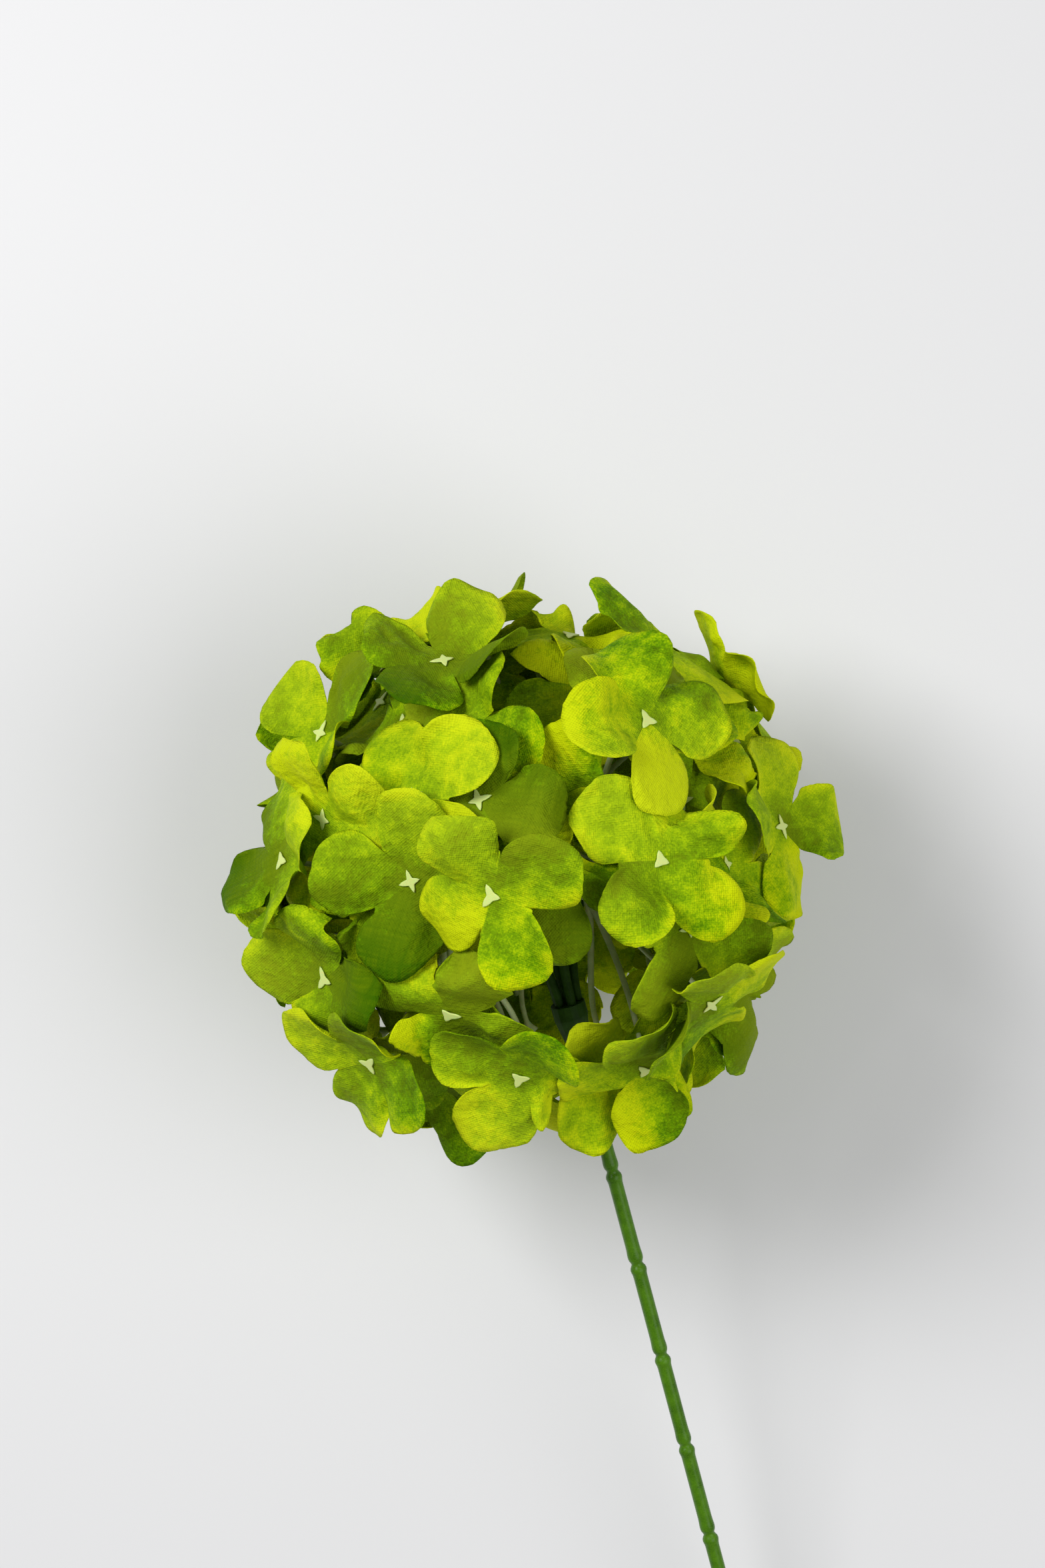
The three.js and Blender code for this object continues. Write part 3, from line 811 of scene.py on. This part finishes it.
# The outermost come first, so that each cloth is tucked under the ones already placed.
outer_offsets = []
for number, seat in enumerate(sorted(seats, key=lambda seat: -seat["radius"])):
    random = np.random.default_rng(FLORET_SEED + 1 + number)
    ceiling = ceiling_over(seat, outer_offsets)
    middle = slice(MAP_HALF - MAP_MIDDLE, MAP_HALF + MAP_MIDDLE + 1)
    over_centre = ceiling[middle, middle].min()
    seat["radius"] = min(seat["radius"], over_centre - UNDER_CLOTH)
    seat["centre"] = head_centre + seat["outward"] * seat["radius"]
    edge = cut_edge(random)
    flat_radius = cloth_rings(edge)
    shape = pressed_cloth(flat_radius, edge, seat["stand"], random)
    stance = np.array([seat["along"], seat["beside"], seat["facing"]])
    offsets = seat["outward"] * seat["radius"] + shape @ stance
    offsets = tucked_under(offsets, seat, ceiling, flat_radius)
    outer_offsets.append(offsets)

    name = seat["node"] or seat["name"]
    piece = add_piece(
        "cloth_of_" + name, head_centre + offsets, cut_quads(), floret_cloth
    )
    mesh = piece.data
    flat = np.stack([flat_radius * np.cos(column_angles), flat_radius * np.sin(column_angles)], -1)
    corner_points = np.empty(len(mesh.loops), int)
    mesh.loops.foreach_get("vertex_index", corner_points)
    uv = mesh.uv_layers.new(name="cut")
    uv.data.foreach_set("uv", (flat / UV_SQUARE + 0.5).reshape(-1, 2)[corner_points].reshape(-1))
    heading = random.uniform(0.0, 2.0 * np.pi)
    across_cloth = (flat @ np.array([math.cos(heading), math.sin(heading)])) / LOBE_REACH
    lobe_tint_and_shade = LOBE_TINT * random.uniform(0.0, 1.0, LOBES)[own_lobe]
    lobe_tint_and_shade = lobe_tint_and_shade + FLORET_TINT * random.uniform()
    # Inner florets get less yellow than the outer ones: painted shade of the head's depths.
    lobe_tint_and_shade = lobe_tint_and_shade + (OUTER_TINT if seat["node"] else INNER_PAINTED_SHADE)
    lobe_slope = random.normal(0.0, SIDE_TINT, LOBES)[own_lobe] * np.sin(off_lobe)
    lobe_slope = lobe_slope * flat_radius / LOBE_ROUND
    rim_dye_and_centre_shade = EDGE_TINT * smooth_step(1.0 - (edge - flat_radius) / EDGE_TINT_WIDTH)
    rim_dye_and_centre_shade = rim_dye_and_centre_shade - EVEN_TINT
    # Darker towards each floret's centre: partly the dye, partly painted shade of the crevice
    # round the pedicel.
    rim_dye_and_centre_shade = rim_dye_and_centre_shade - CENTRE_DYE_AND_SHADE * smooth_step(1.0 - flat_radius / CENTRE_DYE_AND_SHADE_REACH)
    tint_and_shade = mesh.attributes.new("tint_and_shade", "FLOAT", "POINT")
    tints_and_shade = lobe_tint_and_shade[None, :] + ACROSS_TINT * across_cloth + lobe_slope + rim_dye_and_centre_shade
    tint_and_shade.data.foreach_set("value", tints_and_shade.reshape(-1))
    cut = mesh.attributes.new("cut", "FLOAT", "POINT")
    pale = smooth_step(1.0 - (edge - flat_radius) / PALE_EDGE_WIDTH)
    cut.data.foreach_set("value", pale.reshape(-1))
    wall = piece.modifiers.new("cloth", "SOLIDIFY")
    wall.thickness = CLOTH_THICKNESS
    wall.offset = 0.0
    if seat["node"]:
        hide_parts(seat["node"])

# ---------------------------------------------------------------------------------------------
# Sprays. Six mouldings of pale sage, slightly cloudy polythene, one pushed on each branch. Each
# pedicel leaves the knob, straightens towards its floret, flares like a trumpet under the cloth,
# passes through the cloth's hole and ends in a small flat face with three or four pointed corners.
# ---------------------------------------------------------------------------------------------
KNOB_RADIUS = 0.0025
KNOB_LENGTH = 0.007
PEDICEL_ROOT = 0.0011
PEDICEL_RADIUS = 0.00078
FLARE_LENGTH = 0.008
FLARE_RADIUS = 0.0021
HOLE_RADIUS = 0.0008
FACE_RADIUS = 0.0014
FACE_ARM = 0.0034
FACE_THICKNESS = 0.00045
FACE_BEVEL = 0.0001
CLOTH_CLEARANCE = 0.0003
PEDICEL_SIDES = 36
PEDICEL_STATIONS = 18
FACE_PROFILE = (1.0, 1.0, 0.93, 0.75, 0.0)
FLARE_HEIGHTS = (-0.006, -0.0045, -0.003, -0.0018, -0.001)
FLARE_ARMS = (0.0, 0.0, 0.0001, 0.0003, 0.0006, 0.0009)
ARM_VARIES = (0.6, 1.5)
ARM_SHARPNESS = 1.15
KNOB_STATIONS = 14
SPRAY_SEED = 11


def cloudy_plastic(name, rod_dark, rod_light, face_colour):
    """Moulded plastic that lets a little light in, paler on the faces, by the 'face' attribute."""
    material = moulded_plastic(
        name, rod_dark, rod_light, roughness=0.36, fine_share=0.3, grain_height=0.00003
    )
    tree = material.node_tree
    shader = tree.nodes["Principled BSDF"]
    rod_colour = shader.inputs["Base Color"].links[0].from_socket
    on_face = tree.nodes.new("ShaderNodeAttribute")
    on_face.attribute_name = "face"
    colour = mixed(tree, on_face.outputs["Fac"], rod_colour, face_colour)
    tree.links.new(colour, shader.inputs["Base Color"])
    shader.inputs["Subsurface Weight"].default_value = 0.25
    shader.inputs["Subsurface Scale"].default_value = 0.002
    return material


pedicel_plastic = cloudy_plastic(
    "pedicel_plastic", rod_dark=(0.40, 0.48, 0.20), rod_light=(0.58, 0.66, 0.34),
    face_colour=(0.70, 0.79, 0.26),
)


def corner_arms(lengths):
    """Share of an arm at each side's angle: a corner's own length there, falling off as a power
    of one less the sine, so that the corner comes to a point."""
    angles = np.linspace(0.0, 2.0 * np.pi, PEDICEL_SIDES, endpoint=False)
    corners = len(lengths)
    nearest = np.round(angles * corners / (2.0 * np.pi)).astype(int) % corners
    return lengths[nearest] * (1.0 - np.abs(np.sin(0.5 * corners * angles))) ** ARM_SHARPNESS


def pedicel_skin(branch, seat, arm_lengths):
    """One pedicel and its flare, neck and cornered face, as a profile of radii along its path.
    The rings are turned along evenly spaced stations, since the real ones repeat at the face,
    and then moved to them."""
    root = branch["end"] + branch["outward"] * (KNOB_LENGTH - KNOB_RADIUS)
    flare_start = seat["centre"] - seat["facing"] * FLARE_LENGTH
    span = np.linalg.norm(flare_start - root)
    towards = unit(0.5 * branch["outward"] + unit(flare_start - root))
    rod = bezier(
        root,
        root + towards * 0.3 * span,
        flare_start - seat["facing"] * 0.45 * span,
        flare_start,
        stations=PEDICEL_STATIONS,
    )
    under, over = -CLOTH_CLEARANCE, CLOTH_CLEARANCE
    top = over + FACE_THICKNESS
    heights = np.array([*FLARE_HEIGHTS, under - FACE_BEVEL, under, over, over + FACE_BEVEL,
                        top - FACE_BEVEL, top, top, top])
    path = np.vstack([rod, seat["centre"] + heights[:, None] * seat["facing"]])
    rod_radii = np.linspace(PEDICEL_ROOT, PEDICEL_RADIUS, PEDICEL_STATIONS)
    rod_radii[0] = 0.0
    flare_heights = heights[:len(FLARE_ARMS)]
    opening = smooth_step((flare_heights - heights[0]) / -heights[0]) ** 1.5
    flare = PEDICEL_RADIUS + (FLARE_RADIUS - PEDICEL_RADIUS) * opening
    face = FACE_RADIUS * np.array(FACE_PROFILE)
    end_radii = np.concatenate([flare, [HOLE_RADIUS, HOLE_RADIUS], face])
    reach = (FACE_ARM - FACE_RADIUS) * np.array(FACE_PROFILE)
    end_arms = np.concatenate([FLARE_ARMS, [0.0, 0.0], reach])
    arms = corner_arms(arm_lengths)
    radii = np.concatenate([np.repeat(rod_radii[:, None], PEDICEL_SIDES, 1),
                            end_radii[:, None] + end_arms[:, None] * arms[None, :]])
    face_starts = PEDICEL_STATIONS + len(flare) + 1
    on_face = np.repeat((np.arange(len(path)) >= face_starts).astype(float), PEDICEL_SIDES)
    spaced = np.arange(1, len(heights) + 1) * 1e-3
    straight_on = np.vstack([rod, flare_start + spaced[:, None] * seat["facing"]])
    skin = rings_along(straight_on, radii) - straight_on[:, None] + path[:, None]
    return skin, on_face


spray_random = np.random.default_rng(SPRAY_SEED)
branch_outwards = np.array([branch["outward"] for branch in branches])
for seat in seats:
    seat["branch"] = int(np.argmax(branch_outwards @ seat["outward"]))
for number, branch in enumerate(branches):
    knob_down = np.linspace(0.0, KNOB_LENGTH, KNOB_STATIONS)
    knob_round = np.sqrt(np.clip(1.0 - (2.0 * knob_down / KNOB_LENGTH - 1.0) ** 4, 0.0, 1.0))
    knob_path = branch["end"] + knob_down[:, None] * branch["outward"]
    knob_radii = np.repeat((KNOB_RADIUS * knob_round)[:, None], PEDICEL_SIDES, 1)
    skins = [rings_along(knob_path, knob_radii)]
    on_faces = [np.zeros(len(knob_down) * PEDICEL_SIDES)]
    for seat in (seat for seat in seats if seat["branch"] == number):
        arm_lengths = spray_random.uniform(*ARM_VARIES, spray_random.integers(3, 5))
        skin, on_face = pedicel_skin(branch, seat, arm_lengths)
        skins.append(skin)
        on_faces.append(on_face)
    starts = np.cumsum([0] + [skin.shape[0] * PEDICEL_SIDES for skin in skins[:-1]])
    quads = np.vstack([
        quads_between(skin.shape[0], PEDICEL_SIDES) + start for skin, start in zip(skins, starts)
    ])
    node = "spray_" + branch["node"].split("_")[1]
    points = np.vstack([skin.reshape(-1, 3) for skin in skins])
    piece = add_piece(
        "moulding_of_" + node, points, quads, pedicel_plastic
    )
    shade = piece.data.attributes.new("face", "FLOAT", "POINT")
    shade.data.foreach_set("value", np.concatenate(on_faces))
    seal(piece)
    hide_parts(node)

# ---------------------------------------------------------------------------------------------
# Table, light and camera. A plain pale table, a soft light on the left and a wider, fainter one
# on the right, and a camera straight above the head, turned a little round the upright.
# ---------------------------------------------------------------------------------------------
VIEW_HEIGHT = 1.0
VIEW_LENGTH = 0.4704
VIEW_TURN = math.radians(-14.9)
HEAD_RIGHT = 0.0026
HEAD_DOWN = 0.0248
TABLE_HALF = 15.0
ROOM_LIGHT = 0.27

scene = bpy.context.scene
scene.view_settings.view_transform = "Standard"
table_mesh = bpy.data.meshes.new("table")
table_corners = [
    (TABLE_HALF * x, TABLE_HALF * y, 0.0) for x, y in ((-1, -1), (1, -1), (1, 1), (-1, 1))
]
table_mesh.from_pydata(table_corners, [], [(0, 1, 2, 3)])
table_top = bpy.data.objects.new("table", table_mesh)
scene.collection.objects.link(table_top)
table_paint = bpy.data.materials.new("table_paint")
table_paint.use_nodes = True
table_shader = table_paint.node_tree.nodes["Principled BSDF"]
table_shader.inputs["Base Color"].default_value = (0.80, 0.80, 0.81, 1.0)
table_shader.inputs["Roughness"].default_value = 0.8
table_mesh.materials.append(table_paint)

sight_right = np.array([math.cos(VIEW_TURN), math.sin(VIEW_TURN), 0.0])
sight_up = np.array([-math.sin(VIEW_TURN), math.cos(VIEW_TURN), 0.0])
aim = head_centre - HEAD_RIGHT * sight_right + HEAD_DOWN * sight_up
camera_data = bpy.data.cameras.new("camera")
camera_data.sensor_width = 36.0
camera_data.lens = camera_data.sensor_width * VIEW_HEIGHT / VIEW_LENGTH
camera = bpy.data.objects.new("camera", camera_data)
scene.collection.objects.link(camera)
camera.location = (aim[0], aim[1], head_centre[2] + VIEW_HEIGHT)
camera.rotation_euler = (0.0, 0.0, VIEW_TURN)
scene.camera = camera


def soft_light(name, from_right, from_up, height, size, power):
    """A square area light that faces the head."""
    data = bpy.data.lights.new(name, "AREA")
    data.size = size
    data.energy = power
    light = bpy.data.objects.new(name, data)
    place = head_centre + from_right * sight_right + from_up * sight_up
    place = place + np.array([0.0, 0.0, height])
    light.location = place
    toward = head_centre - place
    light.rotation_euler = (
        math.acos(-toward[2] / np.linalg.norm(toward)), 0.0, math.atan2(-toward[0], toward[1])
    )
    scene.collection.objects.link(light)


soft_light("window", from_right=-0.80, from_up=0.45, height=1.05, size=0.6, power=13.6)
soft_light("fill", from_right=0.9, from_up=-0.2, height=1.2, size=1.3, power=11.0)
world = bpy.data.worlds.new("room")
world.use_nodes = True
room_light = world.node_tree.nodes["Background"]
room_light.inputs["Color"].default_value = (1.0, 1.0, 1.0, 1.0)
room_light.inputs["Strength"].default_value = ROOM_LIGHT
scene.world = world
